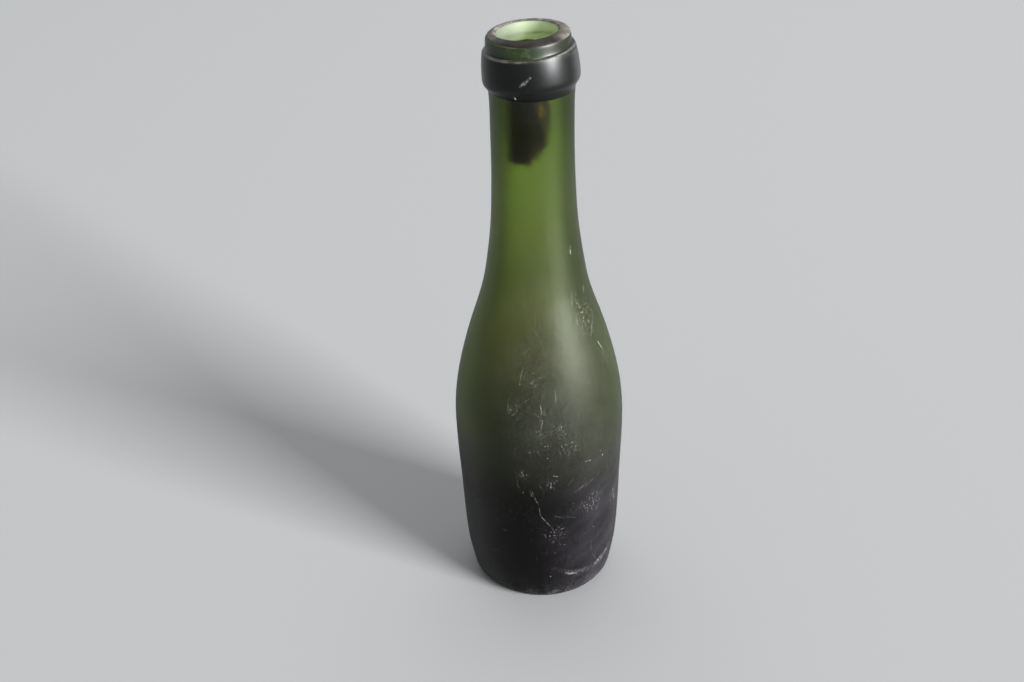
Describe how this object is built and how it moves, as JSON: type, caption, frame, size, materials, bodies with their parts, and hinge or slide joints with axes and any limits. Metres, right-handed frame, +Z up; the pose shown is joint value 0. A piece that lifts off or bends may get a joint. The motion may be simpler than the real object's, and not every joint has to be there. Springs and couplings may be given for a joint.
{
  "type": "antique wine bottle",
  "caption": "Small slender hand-blown wine bottle in olive green glass, long neck with an applied ring, pushed-up base, open and empty.",
  "frame": {"origin": "centre of the bottle's foot, at the level of its foot ring", "axes": "+Z up the bottle's axis to the mouth; +X to the right and -Y to the front, as the picture shows it"},
  "size_m": [0.061, 0.061, 0.2116],
  "materials": {
    "green_glass": "old olive green glass, hazed and scratched, satin",
    "old_cork": "dark brown crust, matt"
  },
  "bodies": {
    "root": {"bottle": "green_glass", "cork_residue": "old_cork"}
  },
  "joints": []
}
